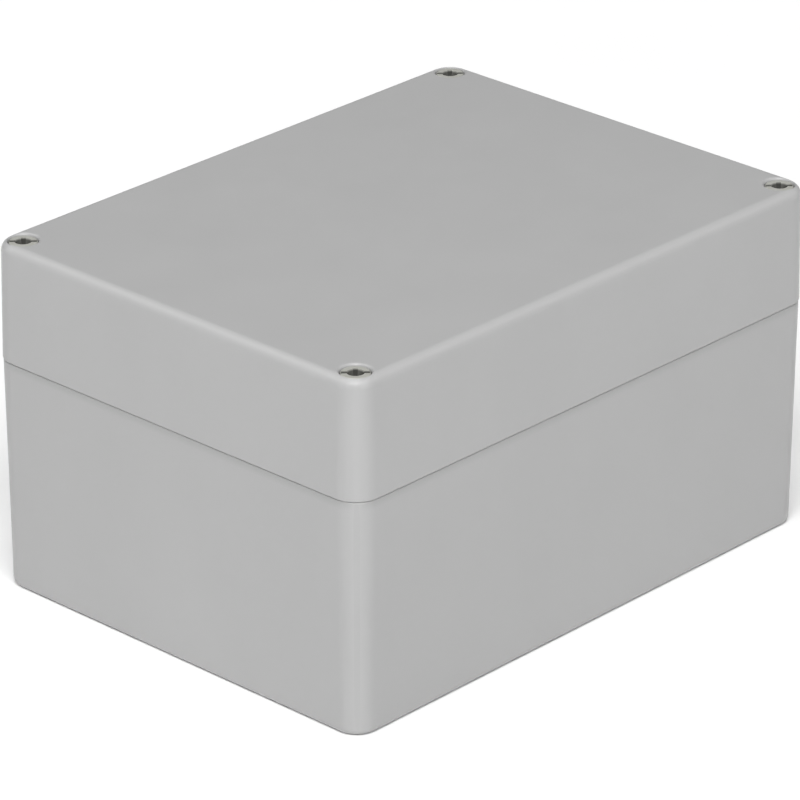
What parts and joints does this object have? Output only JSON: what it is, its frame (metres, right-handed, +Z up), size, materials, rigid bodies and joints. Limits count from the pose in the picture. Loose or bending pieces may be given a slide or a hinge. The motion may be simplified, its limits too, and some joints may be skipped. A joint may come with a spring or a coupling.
{
  "type": "instrument enclosure",
  "caption": "Light grey moulded box for electronics with a deep lid, held on a sealed base by captive corner screws.",
  "frame": {"origin": "middle of the underside of the base", "axes": "+Z up through the lid, +X along the long side"},
  "size_m": [0.16, 0.12, 0.09],
  "materials": {
    "abs_light_grey": "fine spark-eroded moulding texture",
    "seal_foam": "foamed in place, soft matt skin",
    "stainless_steel": "turned and passivated",
    "brass": "turned, plain",
    "ring_rubber": "smooth black rubber"
  },
  "bodies": {
    "base": {"base": "abs_light_grey", "insert_front_left": "brass", "insert_front_right": "brass", "insert_back_right": "brass", "insert_back_left": "brass"},
    "lid": {"lid": "abs_light_grey", "gasket": "seal_foam"},
    "ring_front_left": {"retaining_ring_front_left": "ring_rubber"},
    "ring_front_right": {"retaining_ring_front_right": "ring_rubber"},
    "ring_back_right": {"retaining_ring_back_right": "ring_rubber"},
    "ring_back_left": {"retaining_ring_back_left": "ring_rubber"},
    "screw_front_left": {"lid_screw_front_left": "stainless_steel"},
    "screw_front_right": {"lid_screw_front_right": "stainless_steel"},
    "screw_back_right": {"lid_screw_back_right": "stainless_steel"},
    "screw_back_left": {"lid_screw_back_left": "stainless_steel"}
  },
  "joints": [
    {"name": "lid_lift", "type": "slide", "parent": "base", "child": "lid", "axis": [0, 0, 1], "range_m": [0, 0.1]},
    {"name": "ring_rise_front_left", "type": "slide", "parent": "lid", "child": "ring_front_left", "axis": [0, 0, 1], "range_m": [0, 0.0084]},
    {"name": "ring_rise_front_right", "type": "slide", "parent": "lid", "child": "ring_front_right", "axis": [0, 0, 1], "range_m": [0, 0.0084]},
    {"name": "ring_rise_back_right", "type": "slide", "parent": "lid", "child": "ring_back_right", "axis": [0, 0, 1], "range_m": [0, 0.0084]},
    {"name": "ring_rise_back_left", "type": "slide", "parent": "lid", "child": "ring_back_left", "axis": [0, 0, 1], "range_m": [0, 0.0084]},
    {"name": "screw_turn_front_left", "type": "hinge", "parent": "ring_front_left", "child": "screw_front_left", "pos_m": [-0.074, -0.054, 0.087], "axis": [0, 0, 1], "range_deg": [0, 4320]},
    {"name": "screw_turn_front_right", "type": "hinge", "parent": "ring_front_right", "child": "screw_front_right", "pos_m": [0.074, -0.054, 0.087], "axis": [0, 0, 1], "range_deg": [0, 4320]},
    {"name": "screw_turn_back_right", "type": "hinge", "parent": "ring_back_right", "child": "screw_back_right", "pos_m": [0.074, 0.054, 0.087], "axis": [0, 0, 1], "range_deg": [0, 4320]},
    {"name": "screw_turn_back_left", "type": "hinge", "parent": "ring_back_left", "child": "screw_back_left", "pos_m": [-0.074, 0.054, 0.087], "axis": [0, 0, 1], "range_deg": [0, 4320]}
  ],
  "couplings": [
    {"joint": "screw_turn_front_left", "follows": "ring_rise_front_left", "rad_per_m": 8975.9},
    {"joint": "screw_turn_front_right", "follows": "ring_rise_front_right", "rad_per_m": 8975.9},
    {"joint": "screw_turn_back_right", "follows": "ring_rise_back_right", "rad_per_m": 8975.9},
    {"joint": "screw_turn_back_left", "follows": "ring_rise_back_left", "rad_per_m": 8975.9}
  ]
}
